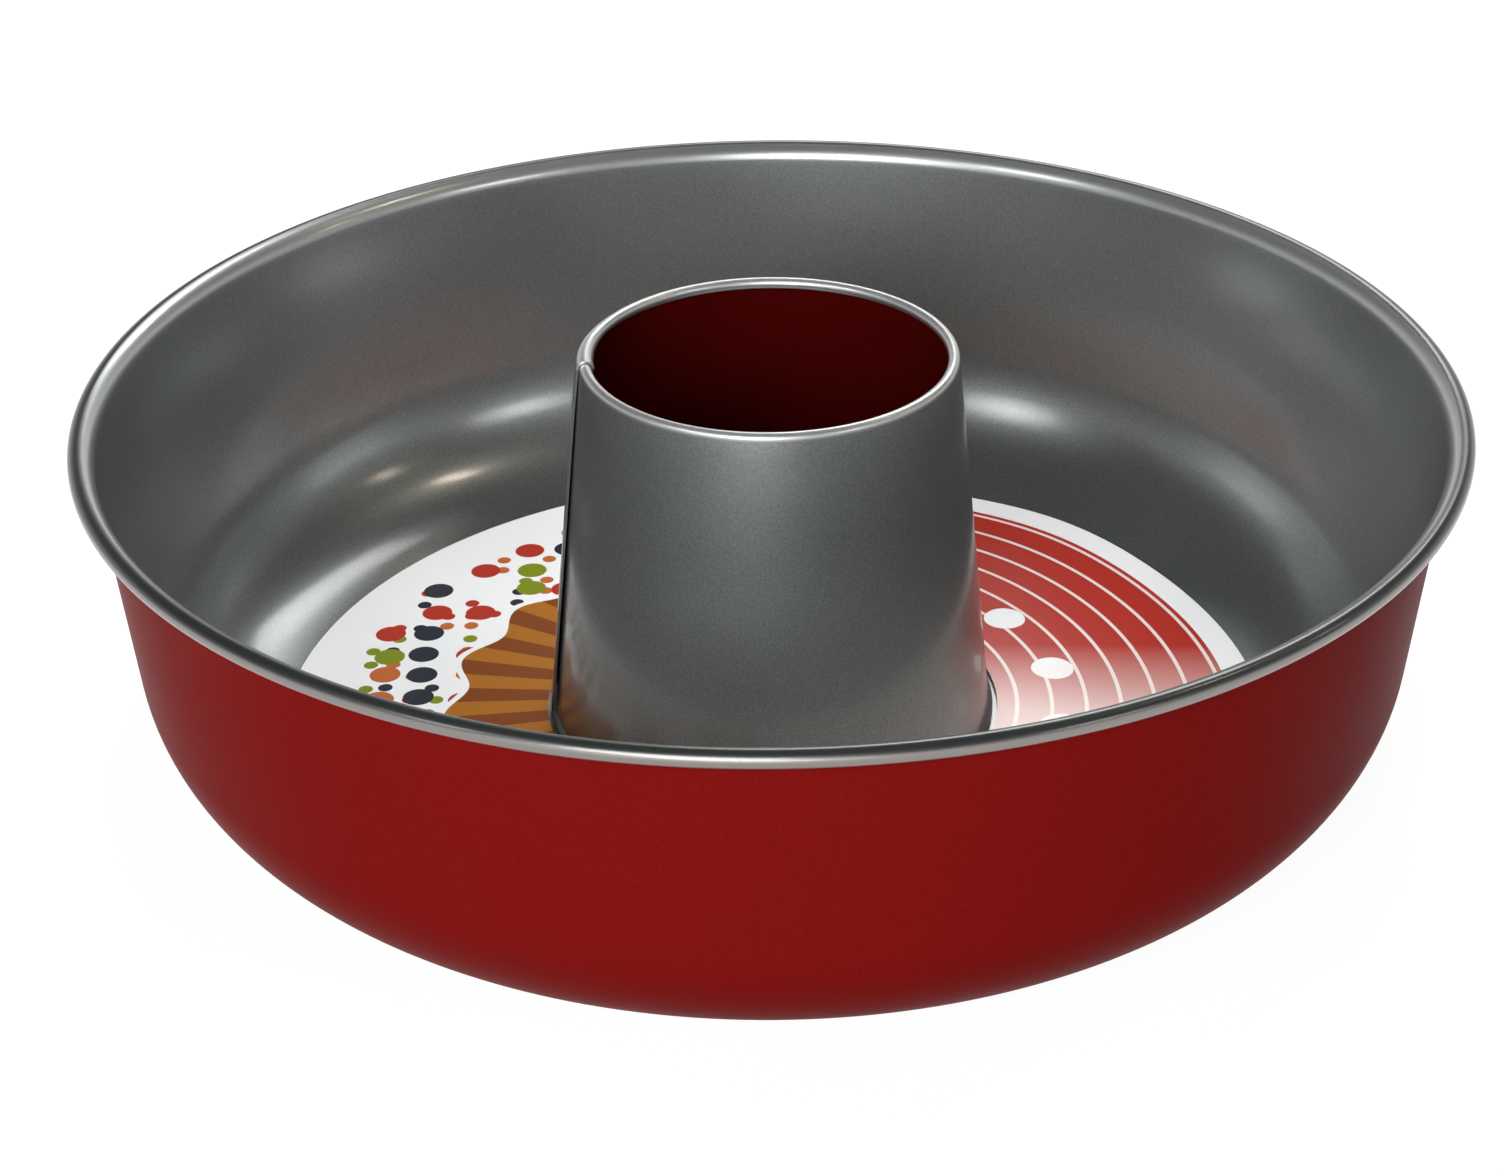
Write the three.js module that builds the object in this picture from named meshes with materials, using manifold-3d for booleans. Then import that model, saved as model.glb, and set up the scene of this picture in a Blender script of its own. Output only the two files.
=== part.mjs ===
// Savarin mould: a ring cake mould of coated steel sheet, with the printed card that lies in it.
// Millimetres, +Z up. The origin is the centre of the underside, on the resting plane.

import * as THREE from "three";
import { mergeVertices } from "three/addons/utils/BufferGeometryUtils.js";
import Module from "manifold-3d";

const wasm = await Module();
wasm.setup();

// Sheet and fits
const SHEET = 0.6; // thickness of the coated steel
const GAP = 0.3; // clearance between neighbouring pieces

// Ring dish
const RIM_RADIUS = 140; // outside of the rolled rim
const RIM_HEIGHT = 76.8; // top of the rim above the resting plane
const FLARE_RADIUS = 4.6; // inside face of the wall where it flares out to the rim
const FLARE_TURN = THREE.MathUtils.degToRad(60); // how far it flares before it is rolled
const ROLL_RADIUS = 1.8; // outside radius of the rolled edge's section
const ROLL_TURN = THREE.MathUtils.degToRad(224); // how far the edge is rolled under
const WALL_DRAFT = THREE.MathUtils.degToRad(5.8); // lean of the outer wall from upright
const CORNER_RADIUS = 33; // outside radius between wall and floor

// Raised seat in the floor, which keeps the tube's foot clear of the table
const SEAT_LIFT = 1.5; // rise of the seat above the floor
const SEAT_MARGIN = 3; // flat of the seat beyond the tube's flange
const SEAT_RUN = 3; // radial length of the slope down to the floor

// Centre tube
const TUBE_TOP_RADIUS = 38.4; // outside, at the hem
const TUBE_FOOT_RADIUS = 46.1; // outside, at the seat
const TUBE_RISE = 7.7; // top of the tube above the top of the rim
const HEM_RADIUS = 1.2; // outside radius of the top hem's section
const HEM_TURN = THREE.MathUtils.degToRad(240); // how far the hem is curled into the bore
const FOOT_BEAD = 0.9; // how far the bead that clamps the floor stands out
const FLANGE_WIDTH = 4; // foot flange under the floor, beyond the tube

// Lap seam of the rolled tube
const LAP_WIDTH = 10; // from the open edge to where the step dies out
const LAP_STEP = 1.4; // how far the open edge stands out from the tube
const LAP_ANGLE = THREE.MathUtils.degToRad(188); // place of the open edge round the tube, from +X

// Printed card
const CARD_THICKNESS = 0.5;
const CARD_RADIUS = 104.4; // reaches a little way up the corner
const CARD_HOLE_CLEARANCE = 1; // between the card's hole and the foot bead

// Fineness of the round forms
const TURN_STEPS = 64; // round the axis
const CORNER_STEPS = 9;
const FLARE_STEPS = 4;
const ROLL_STEPS = 10; // round a rolled edge or hem

// Heights and radii that follow from the sizes above
const rollCentre = new THREE.Vector2(RIM_RADIUS - ROLL_RADIUS, RIM_HEIGHT - ROLL_RADIUS);
const flareStart = Math.PI - WALL_DRAFT;
const flareEnd = flareStart - FLARE_TURN;
const tubeTop = RIM_HEIGHT + TUBE_RISE;
const hemCentre = new THREE.Vector2(TUBE_TOP_RADIUS - HEM_RADIUS, tubeTop - HEM_RADIUS);
const floorTop = SHEET;
const seatTop = SEAT_LIFT + SHEET;
const holeRadius = TUBE_FOOT_RADIUS + GAP;
const flangeRadius = TUBE_FOOT_RADIUS + FLANGE_WIDTH;
const seatRadius = flangeRadius + SEAT_MARGIN;
const footBeadStart = seatTop + GAP;
const footBeadEnd = footBeadStart + 2 * FOOT_BEAD;
const tubeLean = Math.atan2(TUBE_FOOT_RADIUS - TUBE_TOP_RADIUS, hemCentre.y - footBeadEnd);

function polar(centre, radius, angle) {
  return new THREE.Vector2(centre.x + radius * Math.cos(angle), centre.y + radius * Math.sin(angle));
}

function arc(centre, radius, from, to, steps) {
  const points = [];
  for (let i = 0; i <= steps; i++) points.push(polar(centre, radius, from + ((to - from) * i) / steps));
  return points;
}

// The outline, as radius and height, of a sheet whose middle runs through the given points.
function sheetOutline(middle) {
  const normals = middle.slice(1).map((point, i) => {
    const along = point.clone().sub(middle[i]).normalize();
    return new THREE.Vector2(-along.y, along.x);
  });
  const face = (offset) =>
    middle.map((point, i) => {
      const before = normals[Math.max(i - 1, 0)];
      const after = normals[Math.min(i, normals.length - 1)];
      const mitre = before.clone().add(after);
      return point.clone().addScaledVector(mitre, (2 * offset) / mitre.lengthSq());
    });
  const outline = [...face(-SHEET / 2), ...face(SHEET / 2).reverse()];
  return [...outline, outline[0].clone()];
}

// A closed outline turned round the upright axis.
function turned(outline) {
  return new THREE.LatheGeometry(outline, TURN_STEPS).rotateX(Math.PI / 2);
}

function toSolid(geometry) {
  geometry.deleteAttribute("normal");
  geometry.deleteAttribute("uv");
  const merged = mergeVertices(geometry);
  return new wasm.Manifold(
    new wasm.Mesh({
      numProp: 3,
      vertProperties: merged.attributes.position.array,
      triVerts: new Uint32Array(merged.index.array),
    }),
  );
}

function toGeometry(solid) {
  const mesh = solid.getMesh();
  return new THREE.BufferGeometry()
    .setAttribute("position", new THREE.BufferAttribute(mesh.vertProperties, 3))
    .setIndex(new THREE.BufferAttribute(mesh.triVerts, 1));
}

// Sorts the faces into the two coats. The lacquer is on the faces that look down, from the foot up
// to where the edge rolls over and carries the cooking coat round with it.
function coatFaces(geometry, rollStart) {
  const loose = geometry.toNonIndexed();
  loose.computeVertexNormals();
  const place = loose.attributes.position;
  const facing = loose.attributes.normal;
  const cooking = [];
  const lacquered = [];
  for (let i = 0; i < place.count; i += 3) {
    const height = (place.getZ(i) + place.getZ(i + 1) + place.getZ(i + 2)) / 3;
    const coat = facing.getZ(i) < 0 && height < rollStart ? lacquered : cooking;
    coat.push(i, i + 1, i + 2);
  }
  loose.setIndex([...cooking, ...lacquered]);
  loose.addGroup(0, cooking.length, 0);
  loose.addGroup(cooking.length, lacquered.length, 1);
  return loose;
}

const cookingCoat = new THREE.MeshStandardMaterial({ color: 0x5c5f5e, roughness: 0.34, metalness: 0.45 });
const lacquer = new THREE.MeshStandardMaterial({ color: 0x7d1917, roughness: 0.3, metalness: 0.1 });
const printedCard = new THREE.MeshStandardMaterial({ color: 0xdadbde, roughness: 0.25, metalness: 0 });

function named(name, geometry, material) {
  const mesh = new THREE.Mesh(geometry, material);
  mesh.name = name;
  return mesh;
}

// The dish: seat, floor, corner, wall and a rim flared and rolled outwards.
const cornerMiddle = CORNER_RADIUS - SHEET / 2;
const flareCentre = polar(rollCentre, ROLL_RADIUS - FLARE_RADIUS, flareEnd);
const flareMiddle = FLARE_RADIUS - SHEET / 2;
const rimStart = polar(flareCentre, flareMiddle, flareStart);
const wallDrop = rimStart.y + cornerMiddle * Math.sin(WALL_DRAFT) - CORNER_RADIUS;
const cornerCentre = new THREE.Vector2(
  rimStart.x - wallDrop * Math.tan(WALL_DRAFT) - cornerMiddle * Math.cos(WALL_DRAFT),
  CORNER_RADIUS,
);
const dishMiddle = [
  new THREE.Vector2(holeRadius, seatTop - SHEET / 2),
  new THREE.Vector2(seatRadius, seatTop - SHEET / 2),
  new THREE.Vector2(seatRadius + SEAT_RUN, floorTop - SHEET / 2),
  ...arc(cornerCentre, cornerMiddle, -Math.PI / 2, -WALL_DRAFT, CORNER_STEPS),
  ...arc(flareCentre, flareMiddle, flareStart, flareEnd, FLARE_STEPS),
  ...arc(rollCentre, ROLL_RADIUS - SHEET / 2, flareEnd, flareEnd - ROLL_TURN, ROLL_STEPS).slice(1),
];
const dishBody = coatFaces(turned(sheetOutline(dishMiddle)), RIM_HEIGHT - 2 * ROLL_RADIUS);
const panShell = named("pan_shell", dishBody, [cookingCoat, lacquer]);

// The tube: a flange under the seat, a bead on top of it, a cone and a hem curled into the bore.
const footMiddle = TUBE_FOOT_RADIUS - SHEET / 2;
const flangeHeight = SEAT_LIFT - GAP - SHEET / 2;
const tubeMiddle = [
  new THREE.Vector2(flangeRadius, flangeHeight),
  new THREE.Vector2(footMiddle, flangeHeight),
  new THREE.Vector2(footMiddle, footBeadStart),
  new THREE.Vector2(footMiddle + FOOT_BEAD, footBeadStart + FOOT_BEAD),
  new THREE.Vector2(footMiddle, footBeadEnd),
  ...arc(hemCentre, HEM_RADIUS - SHEET / 2, tubeLean, tubeLean + HEM_TURN, ROLL_STEPS),
];

// The lap: the sheet's outer end, whose open edge looks forwards and dies out round the back.
const lapSection = new THREE.Shape([
  new THREE.Vector2(-SHEET / 2, -LAP_WIDTH),
  new THREE.Vector2(LAP_STEP, 0),
  new THREE.Vector2(-SHEET / 2, 0),
]);
const lapLength = (hemCentre.y - HEM_RADIUS - footBeadEnd) / Math.cos(tubeLean);
const lap = new THREE.ExtrudeGeometry(lapSection, { depth: lapLength, bevelEnabled: false });
lap.rotateY(-tubeLean).translate(TUBE_FOOT_RADIUS, 0, footBeadEnd).rotateZ(LAP_ANGLE);

const tubeSolid = toSolid(turned(sheetOutline(tubeMiddle))).add(toSolid(lap));
const tubeBody = coatFaces(toGeometry(tubeSolid), tubeTop - 2 * HEM_RADIUS);
const centreTube = named("centre_tube", tubeBody, [cookingCoat, lacquer]);

// The card: a thin ring that leans on the edge of the seat and on the foot of the corner.
const cornerInside = CORNER_RADIUS - SHEET;
const cardClimb = Math.max(CARD_RADIUS - cornerCentre.x, 0);
const cardHoleRadius = TUBE_FOOT_RADIUS + FOOT_BEAD + CARD_HOLE_CLEARANCE;
const cardRimHeight = CORNER_RADIUS - Math.sqrt(cornerInside ** 2 - cardClimb ** 2) + GAP;
const cardFall = (seatTop + GAP - cardRimHeight) / (CARD_RADIUS - seatRadius);
const cardHoleHeight = cardRimHeight + cardFall * (CARD_RADIUS - cardHoleRadius);
const cardOutline = [
  new THREE.Vector2(cardHoleRadius, cardHoleHeight),
  new THREE.Vector2(CARD_RADIUS, cardRimHeight),
  new THREE.Vector2(CARD_RADIUS, cardRimHeight + CARD_THICKNESS),
  new THREE.Vector2(cardHoleRadius, cardHoleHeight + CARD_THICKNESS),
  new THREE.Vector2(cardHoleRadius, cardHoleHeight),
];
const labelCard = named("label_card", turned(cardOutline), printedCard);

const mould = new THREE.Group();
mould.add(panShell, centreTube, labelCard);

export default mould;
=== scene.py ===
import math
import bmesh
import bpy
from mathutils import Matrix, Vector


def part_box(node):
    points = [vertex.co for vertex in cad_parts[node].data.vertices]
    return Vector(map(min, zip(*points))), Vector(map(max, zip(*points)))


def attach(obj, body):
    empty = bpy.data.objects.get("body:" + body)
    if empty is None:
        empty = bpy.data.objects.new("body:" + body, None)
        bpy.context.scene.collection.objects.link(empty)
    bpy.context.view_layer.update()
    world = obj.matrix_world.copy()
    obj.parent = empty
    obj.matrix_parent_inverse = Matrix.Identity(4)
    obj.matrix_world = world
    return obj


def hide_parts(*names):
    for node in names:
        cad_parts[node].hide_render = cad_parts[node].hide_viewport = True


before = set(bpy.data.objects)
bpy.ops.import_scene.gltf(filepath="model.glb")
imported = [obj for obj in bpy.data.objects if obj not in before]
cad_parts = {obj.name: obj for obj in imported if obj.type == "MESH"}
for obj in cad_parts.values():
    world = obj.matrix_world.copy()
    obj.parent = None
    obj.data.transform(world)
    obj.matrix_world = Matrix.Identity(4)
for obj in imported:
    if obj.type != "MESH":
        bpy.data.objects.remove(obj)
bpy.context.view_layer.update()        # the steel dish, its centre tube and the card ring
mm = 0.001
perMetre = 1000.0               # millimetres, for the materials
mergeDistance = 0.002 * mm

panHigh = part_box("pan_shell")[1]
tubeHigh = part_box("centre_tube")[1]
cardLow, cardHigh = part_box("label_card")
print("frame loaded:", ", ".join(sorted(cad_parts)))


# helpers for sections in the XZ plane, x the radius and z the height

def place(radius, height):
    return Vector((radius, 0, height))


def around(centre, radius, angle):
    return centre + place(radius * math.cos(angle), radius * math.sin(angle))


def startSection(mesh, point):
    return bmesh.ops.create_vert(mesh, co=point)["vert"][0]


def straightTo(mesh, tip, point):
    tip = bmesh.ops.extrude_vert_indiv(mesh, verts=[tip])["verts"][0]
    tip.co = point
    return tip


def bendRound(mesh, tip, centre, turn, steps):
    bent = bmesh.ops.spin(mesh, geom=[tip], cent=centre, axis=(0, -1, 0), dvec=(0, 0, 0),
                          angle=turn, steps=steps, use_duplicate=False)
    return next(item for item in bent["geom_last"] if isinstance(item, bmesh.types.BMVert))


def spinOn(mesh, geometry, turn, steps, closed=False):
    spun = bmesh.ops.spin(mesh, geom=geometry, cent=(0, 0, 0), axis=(0, 0, 1), dvec=(0, 0, 0),
                          angle=turn, steps=steps, use_merge=closed, use_duplicate=False)
    return spun["geom_last"]


def turnSection(mesh, steps):
    spinOn(mesh, mesh.verts[:] + mesh.edges[:], math.tau, steps, closed=True)
    bmesh.ops.remove_doubles(mesh, verts=mesh.verts, dist=mergeDistance)


def faceThisWay(mesh, near, direction):
    # turns all normals so that the face nearest to a point looks in a direction
    bmesh.ops.recalc_face_normals(mesh, faces=mesh.faces)
    face = min(mesh.faces, key=lambda one: (one.calc_center_median() - near).length)
    if face.normal.dot(direction) < 0:
        bmesh.ops.reverse_faces(mesh, faces=mesh.faces)


def makePiece(name, mesh, material, sharpAngle=math.radians(40)):
    mesh.normal_update()
    for face in mesh.faces:
        face.smooth = True
    for edge in mesh.edges:
        if edge.is_boundary or edge.calc_face_angle() > sharpAngle:
            edge.smooth = False     # cut edges of the sheet stay crisp too
    data = bpy.data.meshes.new(name)
    mesh.to_mesh(data)
    mesh.free()
    data.materials.append(material)
    piece = bpy.data.objects.new(name, data)
    bpy.context.scene.collection.objects.link(piece)
    return piece


def giveThickness(piece, thickness):
    wall = piece.modifiers.new("wall", "SOLIDIFY")
    wall.thickness = thickness
    wall.offset = -1        # the modelled face stays the visible one
    wall.use_even_offset = True


def dress(piece, node, body):
    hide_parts(node)
    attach(piece, body)


def smoothShare(share):
    share = min(max(share, 0), 1)
    return share * share * (3 - 2 * share)


# material helpers

def newMaterial(name):
    material = bpy.data.materials.new(name)
    material.use_nodes = True
    return material, material.node_tree, material.node_tree.nodes["Principled BSDF"]


def feed(tree, socket, value):
    if isinstance(value, bpy.types.NodeSocket):
        tree.links.new(value, socket)
    else:
        socket.default_value = value


def calc(tree, operation, first, second=0.0):
    node = tree.nodes.new("ShaderNodeMath")
    node.operation = operation
    feed(tree, node.inputs[0], first)
    feed(tree, node.inputs[1], second)
    return node.outputs[0]


def scaled(tree, value, low, high, newLow, newHigh):
    node = tree.nodes.new("ShaderNodeMapRange")
    feed(tree, node.inputs["Value"], value)
    for name, limit in (("From Min", low), ("From Max", high), ("To Min", newLow), ("To Max", newHigh)):
        node.inputs[name].default_value = limit
    return node.outputs["Result"]


def toned(tree, value, stops, interpolation="LINEAR"):
    node = tree.nodes.new("ShaderNodeValToRGB")
    node.color_ramp.interpolation = interpolation
    while len(node.color_ramp.elements) < len(stops):
        node.color_ramp.elements.new(1)
    for element, (position, colour) in zip(node.color_ramp.elements, stops):
        element.position = position
        element.color = (*colour, 1)
    feed(tree, node.inputs["Fac"], value)
    return node.outputs["Color"]


def mixed(tree, mask, under, over):
    node = tree.nodes.new("ShaderNodeMix")
    node.data_type = "RGBA"
    feed(tree, node.inputs["Factor"], mask)
    for socket, colour in ((node.inputs["A"], under), (node.inputs["B"], over)):
        feed(tree, socket, colour if isinstance(colour, bpy.types.NodeSocket) else (*colour, 1))
    return node.outputs["Result"]


def noise(tree, vector, scale, detail):
    node = tree.nodes.new("ShaderNodeTexNoise")
    tree.links.new(vector, node.inputs["Vector"])
    feed(tree, node.inputs["Scale"], scale)
    node.inputs["Detail"].default_value = detail
    return node.outputs["Fac"]


def radiusOf(tree, where):
    flat = tree.nodes.new("ShaderNodeVectorMath")
    flat.operation = "MULTIPLY"
    tree.links.new(where, flat.inputs[0])
    flat.inputs[1].default_value = (perMetre, perMetre, 0)
    length = tree.nodes.new("ShaderNodeVectorMath")
    length.operation = "LENGTH"
    tree.links.new(flat.outputs["Vector"], length.inputs[0])
    return length.outputs["Value"]


def heightOf(tree, where):
    parts = tree.nodes.new("ShaderNodeSeparateXYZ")
    tree.links.new(where, parts.inputs["Vector"])
    return calc(tree, "MULTIPLY", parts.outputs["Z"], perMetre)


# shared effect: fine flake in a coat, cloudy gloss and a slight orange peel

grainLook = {
    "flakeDetail": 1.5, "patchScale": 28.0, "patchDetail": 3.0, "peelDetail": 2.0,
    "low": 0.3, "high": 0.7,        # between which most of a noise lies
}


def buildCoatGrain():
    group = bpy.data.node_groups.new("coatGrain", "ShaderNodeTree")
    group.interface.new_socket("Vector", in_out="INPUT", socket_type="NodeSocketVector")
    for name in ("Flake Scale", "Peel Scale"):
        group.interface.new_socket(name, in_out="INPUT", socket_type="NodeSocketFloat")
    for name in ("Flake", "Patch", "Peel"):
        group.interface.new_socket(name, in_out="OUTPUT", socket_type="NodeSocketFloat")
    entry = group.nodes.new("NodeGroupInput")
    leave = group.nodes.new("NodeGroupOutput")
    for name, scale, detail in (
            ("Flake", entry.outputs["Flake Scale"], grainLook["flakeDetail"]),
            ("Patch", grainLook["patchScale"], grainLook["patchDetail"]),
            ("Peel", entry.outputs["Peel Scale"], grainLook["peelDetail"])):
        group.links.new(noise(group, entry.outputs["Vector"], scale, detail), leave.inputs[name])
    return group


coatGrain = buildCoatGrain()


def bandMask(tree, where, band):
    # 1 between the band's radii and heights in millimetres, with soft edges
    mask = 1.0
    measures = ((radiusOf(tree, where), band["radius"]), (heightOf(tree, where), band["height"]))
    for value, (low, high) in measures:
        rise = scaled(tree, value, low - band["soft"], low + band["soft"], 0, 1)
        fall = scaled(tree, value, high - band["soft"], high + band["soft"], 1, 0)
        mask = calc(tree, "MULTIPLY", mask, calc(tree, "MULTIPLY", rise, fall))
    return mask


def coatMaterial(look):
    material, tree, shader = newMaterial(look["name"])
    where = tree.nodes.new("ShaderNodeTexCoord")
    grain = tree.nodes.new("ShaderNodeGroup")
    grain.node_tree = coatGrain
    grain.inputs["Flake Scale"].default_value = look["flakeScale"]
    grain.inputs["Peel Scale"].default_value = look["peelScale"]
    tree.links.new(where.outputs["Object"], grain.inputs["Vector"])
    stops = ((grainLook["low"], look["dark"]), (grainLook["high"], look["light"]))
    tone = toned(tree, grain.outputs["Flake"], stops)
    weight = look["coat"]
    # bands of painted highlight and painted shade laid over the coat's tone
    for band in look["paintedLightBands"]:
        mask = bandMask(tree, where.outputs["Object"], band)
        tone = mixed(tree, mask, tone, band["tone"])
        weight = calc(tree, "ADD", weight, calc(tree, "MULTIPLY", mask, band["coat"] - look["coat"]))
    feed(tree, shader.inputs["Coat Weight"], weight)
    tree.links.new(tone, shader.inputs["Base Color"])
    rough = scaled(tree, grain.outputs["Patch"], grainLook["low"], grainLook["high"],
                   look["smooth"], look["rough"])
    tree.links.new(rough, shader.inputs["Roughness"])
    bump = tree.nodes.new("ShaderNodeBump")
    bump.inputs["Strength"].default_value = look["peelStrength"]
    bump.inputs["Distance"].default_value = look["peelHeight"]
    tree.links.new(grain.outputs["Peel"], bump.inputs["Height"])
    tree.links.new(bump.outputs["Normal"], shader.inputs["Normal"])
    shader.inputs["Metallic"].default_value = look["metallic"]
    shader.inputs["Specular IOR Level"].default_value = look["specular"]
    shader.inputs["Coat Roughness"].default_value = look["coatRough"]
    shader.inputs["Coat IOR"].default_value = look["coatIor"]
    return material


greyCoat = {
    "dark": (0.172, 0.187, 0.184), "light": (0.236, 0.252, 0.249),
    "metallic": 0.80, "specular": 0.5, "coatIor": 1.6,
    "flakeScale": 2200, "peelScale": 420, "peelStrength": 0.1, "peelHeight": 0.05 * mm,
}
lacquerCoat = {
    "metallic": 0.0, "coat": 0.0, "coatRough": 0.1, "coatIor": 1.5, "paintedLightBands": (),
    "flakeScale": 1600, "peelScale": 300, "peelStrength": 0.1, "peelHeight": 0.05 * mm,
}
rim = {         # millimetres
    "outside": panHigh.x / mm, "top": panHigh.z / mm,
    "lip": 5.1, "roll": 2.8,            # where they start, inwards of the outside
    "rollFoot": 1.2, "foot": 4.8,       # below the top
    "margin": 1.2,
}
lipStart = rim["outside"] - rim["lip"]
rollStart = rim["outside"] - rim["roll"]
pastRim = rim["outside"] + rim["margin"]
aboveRim = rim["top"] + rim["margin"]
rollFoot = rim["top"] - rim["rollFoot"]
underRim = rim["top"] - rim["foot"]
dishGrey = coatMaterial({
    **greyCoat, "name": "dishGrey",
    "smooth": 0.33, "rough": 0.38, "coat": 0.85, "coatRough": 0.14,
    "paintedLightBands": (      # painted highlight on the flared lip, painted dark reflection over the roll, painted highlight at its outer foot
        {"radius": (lipStart, rollStart), "height": (underRim, aboveRim), "soft": 0.25,
         "tone": (0.34, 0.355, 0.352), "coat": 1.0},
        {"radius": (rollStart, pastRim), "height": (rollFoot, aboveRim), "soft": 0.3,
         "tone": (0.070, 0.075, 0.074), "coat": 0.45},
        {"radius": (rollStart, pastRim), "height": (underRim, rollFoot), "soft": 0.3,
         "tone": (0.245, 0.220, 0.205), "coat": 0.45},
    ),
})
# where the painted highlight along the hem lies
hemHighlightBand = {     # millimetres
    "radius": (30, 42),
    "height": (tubeHigh.z / mm - 1.3, tubeHigh.z / mm + 2.5),
}
tubeGrey = coatMaterial({
    **greyCoat, "name": "tubeGrey",
    "smooth": 0.39, "rough": 0.45, "coat": 0.7, "coatRough": 0.16,
    "paintedLightBands": (      # painted highlight along the hem
        {**hemHighlightBand, "soft": 0.25, "tone": (0.44, 0.445, 0.44), "coat": 1.0},
    ),
})
redLacquer = coatMaterial({
    **lacquerCoat, "name": "redLacquer",
    "dark": (0.185, 0.0060, 0.0052), "light": (0.215, 0.0078, 0.0068),
    "specular": 0.012, "smooth": 0.40, "rough": 0.46,
})
# the bore's red lacquer made darker: painted shade inside the tube
boreShadedLacquer = coatMaterial({
    **lacquerCoat, "name": "boreShadedLacquer",
    "dark": (0.046, 0.0012, 0.0008), "light": (0.055, 0.0015, 0.0010),
    "specular": 0.01, "smooth": 0.50, "rough": 0.56,
})
print("coats ready")


# the steel dish: grey inside and round the rim, red outside

dish = {
    "sheet": 0.6 * mm,
    "lacquer": 0.1 * mm,
    "flare": 4.6 * mm,          # inside radius of the lip that the wall flares out to
    "flareTurn": math.radians(60),
    "roll": 1.8 * mm,           # outside radius of the rolled edge
    "rollTurn": math.radians(224),
    "draft": math.radians(5.8),
    "corner": 33 * mm,          # outside radius between wall and floor
    "seatLift": 1.5 * mm,       # floor raised round the tube
    "seatMargin": 3 * mm, "seatRun": 3 * mm,
    "holeGap": 0.3 * mm,
    "flangeWidth": 4 * mm,
    "turnSteps": 256, "cornerSteps": 32, "flareSteps": 16, "rollSteps": 32,
    "stepRound": 1.2 * mm, "stepSegments": 4, "onRing": 0.01 * mm,
    "lacquerTurn": math.radians(45), "lacquerSteps": 10,      # how far the red follows the flare
}
tubeFoot = tubeHigh.x - dish["flangeWidth"]      # outside radius of the tube at the seat
rollCentre = place(panHigh.x - dish["roll"], panHigh.z - dish["roll"])
leanIn = math.pi - dish["draft"]
flareCentre = around(rollCentre, dish["roll"] - dish["flare"], leanIn - dish["flareTurn"])
wallHead = around(flareCentre, dish["flare"] - dish["sheet"], leanIn)      # outer face under the flare
cornerDrop = wallHead.z + dish["corner"] * math.sin(dish["draft"]) - dish["corner"]
cornerCentre = place(
    wallHead.x - cornerDrop * math.tan(dish["draft"]) - dish["corner"] * math.cos(dish["draft"]),
    dish["corner"])
seatRadius = tubeHigh.x + dish["seatMargin"]
seatTop = dish["sheet"] + dish["seatLift"]


def dishSection(mesh, depth):
    # depth is how far the traced face lies under the cooking face
    floor = dish["sheet"] - depth
    tip = startSection(mesh, place(tubeFoot + dish["holeGap"], seatTop - depth))
    tip = straightTo(mesh, tip, place(seatRadius, seatTop - depth))
    tip = straightTo(mesh, tip, place(seatRadius + dish["seatRun"], floor))
    tip = straightTo(mesh, tip, place(cornerCentre.x, floor))
    return bendRound(mesh, tip, cornerCentre, math.pi / 2 - dish["draft"], dish["cornerSteps"])


def roundSeatStep(mesh):
    def isOnStep(edge):
        radii = [vert.co.xy.length for vert in edge.verts]
        return any(all(abs(radius - ring) < dish["onRing"] for radius in radii)
                   for ring in (seatRadius, seatRadius + dish["seatRun"]))
    bmesh.ops.bevel(mesh, geom=[edge for edge in mesh.edges if isOnStep(edge)], affect="EDGES",
                    offset=dish["stepRound"], segments=dish["stepSegments"], profile=0.5, material=-1)


def makeDishInside():
    mesh = bmesh.new()
    tip = dishSection(mesh, 0)
    tip = straightTo(mesh, tip, around(flareCentre, dish["flare"], leanIn))
    tip = bendRound(mesh, tip, flareCentre, -dish["flareTurn"], dish["flareSteps"])
    bendRound(mesh, tip, rollCentre, -dish["rollTurn"], dish["rollSteps"])
    turnSection(mesh, dish["turnSteps"])
    roundSeatStep(mesh)
    faceThisWay(mesh, place(cornerCentre.x, 0), Vector((0, 0, 1)))
    piece = makePiece("dish_inside", mesh, dishGrey)
    giveThickness(piece, dish["sheet"] - dish["lacquer"])
    dress(piece, "pan_shell", "mould")


def makeDishOutside():
    mesh = bmesh.new()
    tip = dishSection(mesh, dish["sheet"])
    tip = straightTo(mesh, tip, wallHead)
    bendRound(mesh, tip, flareCentre, -dish["lacquerTurn"], dish["lacquerSteps"])
    turnSection(mesh, dish["turnSteps"])
    roundSeatStep(mesh)
    faceThisWay(mesh, place(cornerCentre.x, 0), Vector((0, 0, -1)))
    piece = makePiece("dish_outside", mesh, redLacquer)
    giveThickness(piece, dish["lacquer"])
    dress(piece, "pan_shell", "mould")


makeDishInside()
makeDishOutside()
print("dish done")


# the centre tube: a rolled sheet with a lap seam, a hem curled into the bore and a clamped foot

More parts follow.
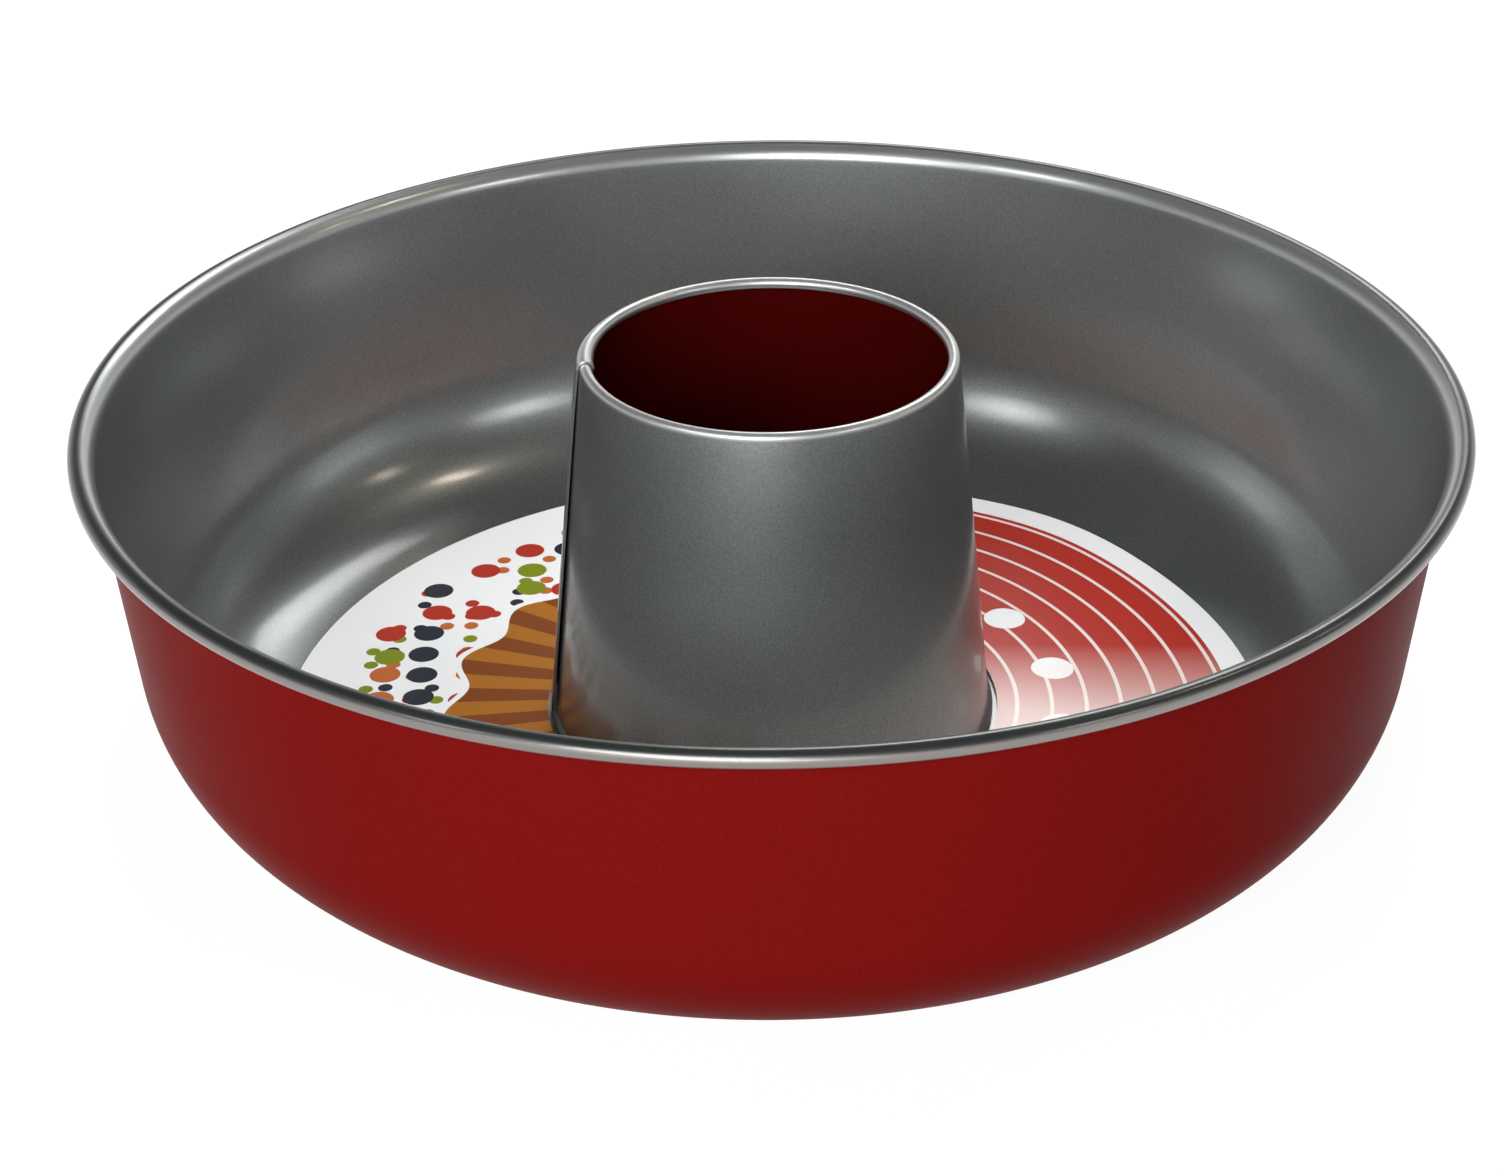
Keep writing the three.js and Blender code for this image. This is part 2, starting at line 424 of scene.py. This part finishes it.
tube = {
    "sheet": 0.6 * mm,
    "lacquer": 0.1 * mm,
    "topRadius": 38.4 * mm,
    "hem": 1.2 * mm,
    "hemTurn": math.radians(240),
    "footBead": 0.9 * mm,
    "gap": 0.3 * mm,
    "lapAt": 188,               # open edge of the lap in degrees from +X, looking forwards
    "lapSpread": 40,            # over which the lap lifts off
    "underlap": 14,             # sheet that runs on under the lap
    "stepAngle": 2,
    "liftHem": 0.62 * mm, "liftTop": 0.85 * mm, "liftFoot": 1.25 * mm,
    "liftFade": 6 * mm,         # height under the hem over which the lap springs open
    "hemSteps": 24, "wallRings": 16, "beadSteps": 6,
}
hemCentre = place(tube["topRadius"] - tube["hem"], tubeHigh.z - tube["hem"])
hemFoot = hemCentre.z - tube["hem"]
beadFoot = seatTop + tube["gap"]
beadTop = beadFoot + 2 * tube["footBead"]
tubeLean = math.atan2(tubeFoot - tube["topRadius"], hemCentre.z - beadTop)
flangeTop = dish["seatLift"] - tube["gap"]


def footSection(mesh):
    tip = startSection(mesh, place(tubeHigh.x, flangeTop))
    tip = straightTo(mesh, tip, place(tubeFoot, flangeTop))
    tip = straightTo(mesh, tip, place(tubeFoot, beadFoot))
    for step in range(1, tube["beadSteps"] + 1):
        share = step / tube["beadSteps"]
        bulge = tube["footBead"] * math.sin(math.pi * share)
        tip = straightTo(mesh, tip, place(tubeFoot + bulge, beadFoot + share * (beadTop - beadFoot)))


def wallSection(mesh):
    foot = place(tubeFoot, beadTop)
    head = around(hemCentre, tube["hem"], tubeLean)
    tip = startSection(mesh, foot)
    for ring in range(1, tube["wallRings"] + 1):
        tip = straightTo(mesh, tip, foot.lerp(head, ring / tube["wallRings"]))
    bendRound(mesh, tip, hemCentre, tube["hemTurn"], tube["hemSteps"])


def liftAt(height):
    if height > hemFoot:
        return tube["liftHem"]
    opened = smoothShare((hemFoot - height) / tube["liftFade"])
    down = (hemFoot - height) / (hemFoot - beadTop)
    sprung = tube["liftTop"] + (tube["liftFoot"] - tube["liftTop"]) * down
    return tube["liftHem"] + (sprung - tube["liftHem"]) * opened


def liftLap(verts):
    # the outer end of the sheet springs away from the tube, more and more towards its open edge
    for vert in verts:
        angle = math.degrees(math.atan2(vert.co.y, vert.co.x)) % 360
        share = smoothShare((angle - tube["lapAt"] + tube["lapSpread"]) / tube["lapSpread"])
        section = place(vert.co.xy.length, vert.co.z)
        if section.z > hemCentre.z or section.x < hemCentre.x:
            away = (section - hemCentre).normalized()
        else:
            away = place(math.cos(tubeLean), math.sin(tubeLean))
        turn = Matrix.Rotation(math.radians(angle), 3, "Z")
        vert.co += turn @ away * liftAt(section.z) * share


def makeTubeWall():
    mesh = bmesh.new()
    footSection(mesh)
    turnSection(mesh, 360 // tube["stepAngle"])
    footVerts, footEdges = set(mesh.verts), set(mesh.edges)
    wallSection(mesh)
    verts = [vert for vert in mesh.verts if vert not in footVerts]
    edges = [edge for edge in mesh.edges if edge not in footEdges]
    innerEnd = math.radians(tube["lapAt"] - tube["underlap"])
    bmesh.ops.rotate(mesh, verts=verts, cent=(0, 0, 0), matrix=Matrix.Rotation(innerEnd, 3, "Z"))
    rolled = 360 + tube["underlap"] - tube["lapSpread"]
    lastEdge = spinOn(mesh, verts + edges, math.radians(rolled), rolled // tube["stepAngle"])
    lying = set(mesh.verts)
    spinOn(mesh, lastEdge, math.radians(tube["lapSpread"]), tube["lapSpread"] // tube["stepAngle"])
    liftLap([vert for vert in mesh.verts if vert not in lying])
    bmesh.ops.remove_doubles(mesh, verts=mesh.verts, dist=mergeDistance)
    faceThisWay(mesh, Vector((0, -tubeFoot, hemCentre.z / 2)), Vector((0, -1, 0)))
    piece = makePiece("tube_wall", mesh, tubeGrey)
    giveThickness(piece, tube["sheet"] - tube["lacquer"])
    dress(piece, "centre_tube", "mould")


def makeTubeBore():
    mesh = bmesh.new()
    neck = tubeFoot - tube["sheet"]
    tip = startSection(mesh, place(tubeHigh.x, flangeTop - tube["sheet"]))
    tip = straightTo(mesh, tip, place(neck, flangeTop - tube["sheet"]))
    tip = straightTo(mesh, tip, place(neck, beadTop))
    straightTo(mesh, tip, around(hemCentre, tube["hem"] - tube["sheet"], tubeLean))
    turnSection(mesh, 360 // tube["stepAngle"])
    faceThisWay(mesh, Vector((0, -neck, hemCentre.z / 2)), Vector((0, 1, 0)))
    piece = makePiece("tube_bore", mesh, boreShadedLacquer)
    giveThickness(piece, tube["lacquer"])
    dress(piece, "centre_tube", "mould")


makeTubeWall()
makeTubeBore()
print("tube done")


# the card ring: glossy white card with a plain printed design

card = {
    "thickness": 0.5 * mm,
    "holeGap": 1.0 * mm,
    "rings": 14, "turnSteps": 192,
    "curlAt": math.radians(48), "curlSpread": math.radians(16), "curlLift": 1.6 * mm,
}
cardPrint = {       # radii and widths in millimetres
    "white": (0.88, 0.885, 0.895), "rough": 0.24,
    "outer": 98.2, "middleGap": 2.0,
    "dots": (       # the second layer lies over the first
        {"scale": 190, "size": 0.30, "dropped": 0.45},
        {"scale": 104, "size": 0.35, "dropped": 0.15},
    ),
    "dotClear": 5.0, "dotScatter": 0.3,
    "dotColours": (     # each from its share of the dots up to the next
        (0.0, (0.018, 0.024, 0.036)),
        (0.34, (0.42, 0.030, 0.015)),
        (0.62, (0.50, 0.13, 0.03)),
        (0.78, (0.20, 0.25, 0.008)),
    ),
    "goldTop": 68.0, "goldWave": 2.2, "goldWaves": 18, "goldRim": 1.6, "goldRays": 36,
    "goldDark": (0.20, 0.048, 0.005), "goldLight": (0.38, 0.135, 0.009),
    "field": (0.42, 0.027, 0.016), "pale": (0.80, 0.71, 0.67),
    "arcPitch": 7.4, "arcShare": 0.12,
    "discRing": 62.0, "discPitch": math.radians(22), "discSize": 4.6,
    "fadeFrom": 22.0, "fadeTo": -26.0,
}
cardHole = tubeFoot + tube["footBead"] + card["holeGap"]


def printDots(tree, where, layer, under):
    cells = tree.nodes.new("ShaderNodeTexVoronoi")
    cells.voronoi_dimensions = "2D"
    cells.inputs["Scale"].default_value = layer["scale"]
    cells.inputs["Randomness"].default_value = cardPrint["dotScatter"]
    tree.links.new(where, cells.inputs["Vector"])
    split = tree.nodes.new("ShaderNodeSeparateColor")
    tree.links.new(cells.outputs["Color"], split.inputs["Color"])
    colour = toned(tree, split.outputs["Red"], cardPrint["dotColours"], "CONSTANT")
    isDot = calc(tree, "LESS_THAN", cells.outputs["Distance"], layer["size"])
    isKept = calc(tree, "GREATER_THAN", split.outputs["Green"], layer["dropped"])
    inside = calc(tree, "LESS_THAN", radiusOf(tree, cells.outputs["Position"]),
                  cardPrint["outer"] - cardPrint["dotClear"])
    shown = calc(tree, "MULTIPLY", calc(tree, "MULTIPLY", isDot, isKept), inside)
    return mixed(tree, shown, under, colour)


def printGold(tree, radius, angle, under):
    # a scalloped rosette of plain rays round the hole, with a white border
    wave = calc(tree, "SINE", calc(tree, "MULTIPLY", angle, cardPrint["goldWaves"]))
    edge = calc(tree, "MULTIPLY_ADD", wave, cardPrint["goldWave"])
    edge.node.inputs[2].default_value = cardPrint["goldTop"]
    rays = calc(tree, "SINE", calc(tree, "MULTIPLY", angle, cardPrint["goldRays"]))
    gold = mixed(tree, calc(tree, "GREATER_THAN", rays, 0.0), cardPrint["goldDark"], cardPrint["goldLight"])
    inRim = calc(tree, "LESS_THAN", radius, calc(tree, "ADD", edge, cardPrint["goldRim"]))
    inGold = calc(tree, "LESS_THAN", radius, edge)
    return mixed(tree, inGold, mixed(tree, inRim, under, cardPrint["white"]), gold)


def printField(tree, radius, angle, depth):
    turn = calc(tree, "FRACT", calc(tree, "DIVIDE", radius, cardPrint["arcPitch"]))
    arcs = calc(tree, "LESS_THAN", turn, cardPrint["arcShare"])
    colour = mixed(tree, arcs, cardPrint["field"], cardPrint["pale"])
    cell = calc(tree, "FRACT", calc(tree, "DIVIDE", angle, cardPrint["discPitch"]))
    aside = calc(tree, "MULTIPLY", calc(tree, "SUBTRACT", cell, 0.5),
                 cardPrint["discPitch"] * cardPrint["discRing"])
    outward = calc(tree, "SUBTRACT", radius, cardPrint["discRing"])
    squares = [calc(tree, "MULTIPLY", side, side) for side in (aside, outward)]
    apart = calc(tree, "SQRT", calc(tree, "ADD", *squares))
    discs = calc(tree, "LESS_THAN", apart, cardPrint["discSize"])
    colour = mixed(tree, discs, colour, cardPrint["white"])
    fade = scaled(tree, depth, cardPrint["fadeFrom"], cardPrint["fadeTo"], 0.0, 1.0)
    return mixed(tree, fade, colour, cardPrint["pale"])


def cardMaterial():
    material, tree, shader = newMaterial("printedCard")
    where = tree.nodes.new("ShaderNodeTexCoord").outputs["Object"]
    parts = tree.nodes.new("ShaderNodeSeparateXYZ")
    tree.links.new(where, parts.inputs["Vector"])
    across = calc(tree, "MULTIPLY", parts.outputs["X"], perMetre)
    depth = calc(tree, "MULTIPLY", parts.outputs["Y"], perMetre)
    angle = calc(tree, "ARCTAN2", depth, across)
    radius = radiusOf(tree, where)
    left = cardPrint["white"]
    for layer in cardPrint["dots"]:
        left = printDots(tree, where, layer, left)
    left = printGold(tree, radius, angle, left)
    right = printField(tree, radius, angle, depth)
    colour = mixed(tree, calc(tree, "GREATER_THAN", across, 0.0), left, right)
    inBand = calc(tree, "LESS_THAN", radius, cardPrint["outer"])
    offMiddle = calc(tree, "GREATER_THAN", calc(tree, "ABSOLUTE", across), cardPrint["middleGap"])
    halfDown = card["thickness"] / 2
    midHeight = scaled(tree, radius, cardHole / mm, cardHigh.x / mm,
                       cardHigh.z - halfDown, cardLow.z + halfDown)
    onTop = calc(tree, "GREATER_THAN", parts.outputs["Z"], midHeight)
    printed = calc(tree, "MULTIPLY", calc(tree, "MULTIPLY", inBand, offMiddle), onTop)
    tree.links.new(mixed(tree, printed, cardPrint["white"], colour), shader.inputs["Base Color"])
    shader.inputs["Roughness"].default_value = cardPrint["rough"]
    return material


def makeCard():
    mesh = bmesh.new()
    rimTop = cardLow.z + card["thickness"]
    tip = startSection(mesh, place(cardHole, cardHigh.z))
    for ring in range(1, card["rings"] + 1):
        share = ring / card["rings"]
        tip = straightTo(mesh, tip, place(cardHole + (cardHigh.x - cardHole) * share,
                                          cardHigh.z + (rimTop - cardHigh.z) * share))
    turnSection(mesh, card["turnSteps"])
    for vert in mesh.verts:
        angle = math.atan2(vert.co.y, vert.co.x)
        share = (vert.co.xy.length - cardHole) / (cardHigh.x - cardHole)
        near = math.exp(-((angle - card["curlAt"]) / card["curlSpread"]) ** 2)
        vert.co.z += card["curlLift"] * near * share ** 3
    faceThisWay(mesh, place(cardHole, cardHigh.z), Vector((0, 0, 1)))
    piece = makePiece("card_ring", mesh, cardMaterial())
    giveThickness(piece, card["thickness"])
    dress(piece, "label_card", "card")


makeCard()
print("card done")


# stage: pale floor and surroundings, soft lamps and the camera

stage = {
    "floorSize": 8.0, "floorDrop": 0.1 * mm,        # clear of the faces that stand on it
    "floorPale": (0.8, 0.8, 0.8), "floorBounce": (0.10, 0.10, 0.10), "floorRough": 0.9,
    "glowShare": 0.8, "glow": 1.15,
    "surround": (0.925, 0.925, 0.925),          # as pale as the far floor, so no line shows between them
    "paleBelow": 0.12, "darkAbove": 0.45,       # sines of height in the surroundings
    "dark": 0.06, "ambient": 0.06,
}
lamps = [
    {"name": "backRight", "at": (0.165, 0.727, 0.66), "aim": (-0.10, 0.05, 0.01), "size": (0.44, 0.36),
     "watts": 3.1, "spread": 180, "colour": (1, 1, 1)},
    {"name": "frontLeft", "at": (-0.61, -0.43, 0.55), "aim": (0.08, 0.12, 0.03), "size": (0.30, 0.40),
     "watts": 0.060, "spread": 24, "colour": (1, 1, 1)},
    {"name": "frontRight", "at": (0.64, -0.47, 0.43), "aim": (-0.08, 0.12, 0.03), "size": (0.40, 0.18),
     "watts": 0.031, "spread": 24, "colour": (1, 1, 1)},
    {"name": "front", "at": (-0.30, -1.22, 0.62), "aim": (0, 0, 0.03), "size": (0.7, 0.5),
     "watts": 15.0, "spread": 180, "colour": (1, 1, 1)},
    {"name": "lowFront", "at": (-0.15, -1.48, 0.23), "aim": (0, 0, 0.06), "size": (0.6, 0.3),
     "watts": 4.5, "spread": 180, "colour": (1, 1, 1)},
    {"name": "top", "at": (0, 0.12, 1.5), "aim": (0, 0, 0.03), "size": (0.35, 0.35),
     "watts": 15.0, "spread": 180, "colour": (1, 1, 1), "soft": True},
    {"name": "bulbLow", "at": (0.77, 0.05, 0.52), "aim": (-0.09, 0.085, 0.014), "size": (0.05, 0.09),
     "watts": 0.16, "spread": 180, "colour": (1, 0.86, 0.70)},
    {"name": "bulbHigh", "at": (0.54, 0.09, 0.79), "aim": (-0.076, 0.093, 0.009), "size": (0.06, 0.10),
     "watts": 0.41, "spread": 180, "colour": (1, 0.86, 0.70)},
]


def seenDirectly(tree):
    # 1 for camera, glossy and transmission rays
    path = tree.nodes.new("ShaderNodeLightPath")
    seen = calc(tree, "MAXIMUM", path.outputs["Is Camera Ray"], path.outputs["Is Glossy Ray"])
    return calc(tree, "MAXIMUM", seen, path.outputs["Is Transmission Ray"])


def buildWorld():
    world = bpy.data.worlds.new("studio")
    bpy.context.scene.world = world
    world.use_nodes = True
    tree = world.node_tree
    back = tree.nodes["Background"]
    back.inputs["Color"].default_value = (*stage["surround"], 1)
    parts = tree.nodes.new("ShaderNodeSeparateXYZ")
    tree.links.new(tree.nodes.new("ShaderNodeTexCoord").outputs["Generated"], parts.inputs["Vector"])
    sky = scaled(tree, parts.outputs["Z"], stage["paleBelow"], stage["darkAbove"], 1, stage["dark"])
    share = scaled(tree, seenDirectly(tree), 0, 1, stage["ambient"], 1)
    tree.links.new(calc(tree, "MULTIPLY", sky, share), back.inputs["Strength"])


def buildFloor():
    mesh = bmesh.new()
    bmesh.ops.create_grid(mesh, x_segments=1, y_segments=1, size=stage["floorSize"] / 2,
                          matrix=Matrix.Translation((0, 0, -stage["floorDrop"])))
    material, tree, shader = newMaterial("paleFloor")
    seen = seenDirectly(tree)
    tree.links.new(mixed(tree, seen, stage["floorBounce"], stage["floorPale"]), shader.inputs["Base Color"])
    shader.inputs["Roughness"].default_value = stage["floorRough"]
    shader.inputs["Specular IOR Level"].default_value = 0.0
    glow = tree.nodes.new("ShaderNodeEmission")
    glow.inputs["Strength"].default_value = stage["glow"]
    mix = tree.nodes.new("ShaderNodeMixShader")
    tree.links.new(calc(tree, "MULTIPLY", seen, stage["glowShare"]), mix.inputs["Fac"])
    tree.links.new(shader.outputs["BSDF"], mix.inputs[1])
    tree.links.new(glow.outputs["Emission"], mix.inputs[2])
    tree.links.new(mix.outputs[0], tree.nodes["Material Output"].inputs["Surface"])
    makePiece("floor", mesh, material)


def addLamp(lamp):
    data = bpy.data.lights.new(lamp["name"], "AREA")
    data.shape = "RECTANGLE"
    data.size, data.size_y = lamp["size"]
    data.energy = lamp["watts"]
    data.spread = math.radians(lamp["spread"])
    data.color = lamp["colour"]
    thing = bpy.data.objects.new(lamp["name"], data)
    bpy.context.scene.collection.objects.link(thing)
    thing.location = lamp["at"]
    aim = Vector(lamp["aim"]) - Vector(lamp["at"])
    thing.rotation_euler = aim.to_track_quat("-Z", "Y").to_euler()
    thing.visible_camera = False
    thing.visible_glossy = "soft" not in lamp       # a soft fill leaves no glint


camera = {
    "inFront": 561.3 * mm,      # distance from the mould's axis
    "above": 342.4 * mm,        # height over the resting plane
    "down": math.radians(29.073),
    "turn": math.radians(0.460),
    "tilt": math.radians(-0.750),
    "focalPixels": 3061, "imageWidth": 1500, "sensor": 36,
}


def buildCamera():
    data = bpy.data.cameras.new("camera")
    data.sensor_width = camera["sensor"]
    data.lens = camera["sensor"] * camera["focalPixels"] / camera["imageWidth"]
    thing = bpy.data.objects.new("camera", data)
    bpy.context.scene.collection.objects.link(thing)
    spot = Matrix.Translation((0, -camera["inFront"], camera["above"]))
    look = Matrix.Rotation(camera["turn"], 4, "Z") @ Matrix.Rotation(math.pi / 2 - camera["down"], 4, "X")
    thing.matrix_world = spot @ look @ Matrix.Rotation(camera["tilt"], 4, "Z")
    bpy.context.scene.camera = thing


buildWorld()
buildFloor()
for lamp in lamps:
    addLamp(lamp)
buildCamera()
bpy.context.scene.view_settings.view_transform = "Standard"
print("stage done")
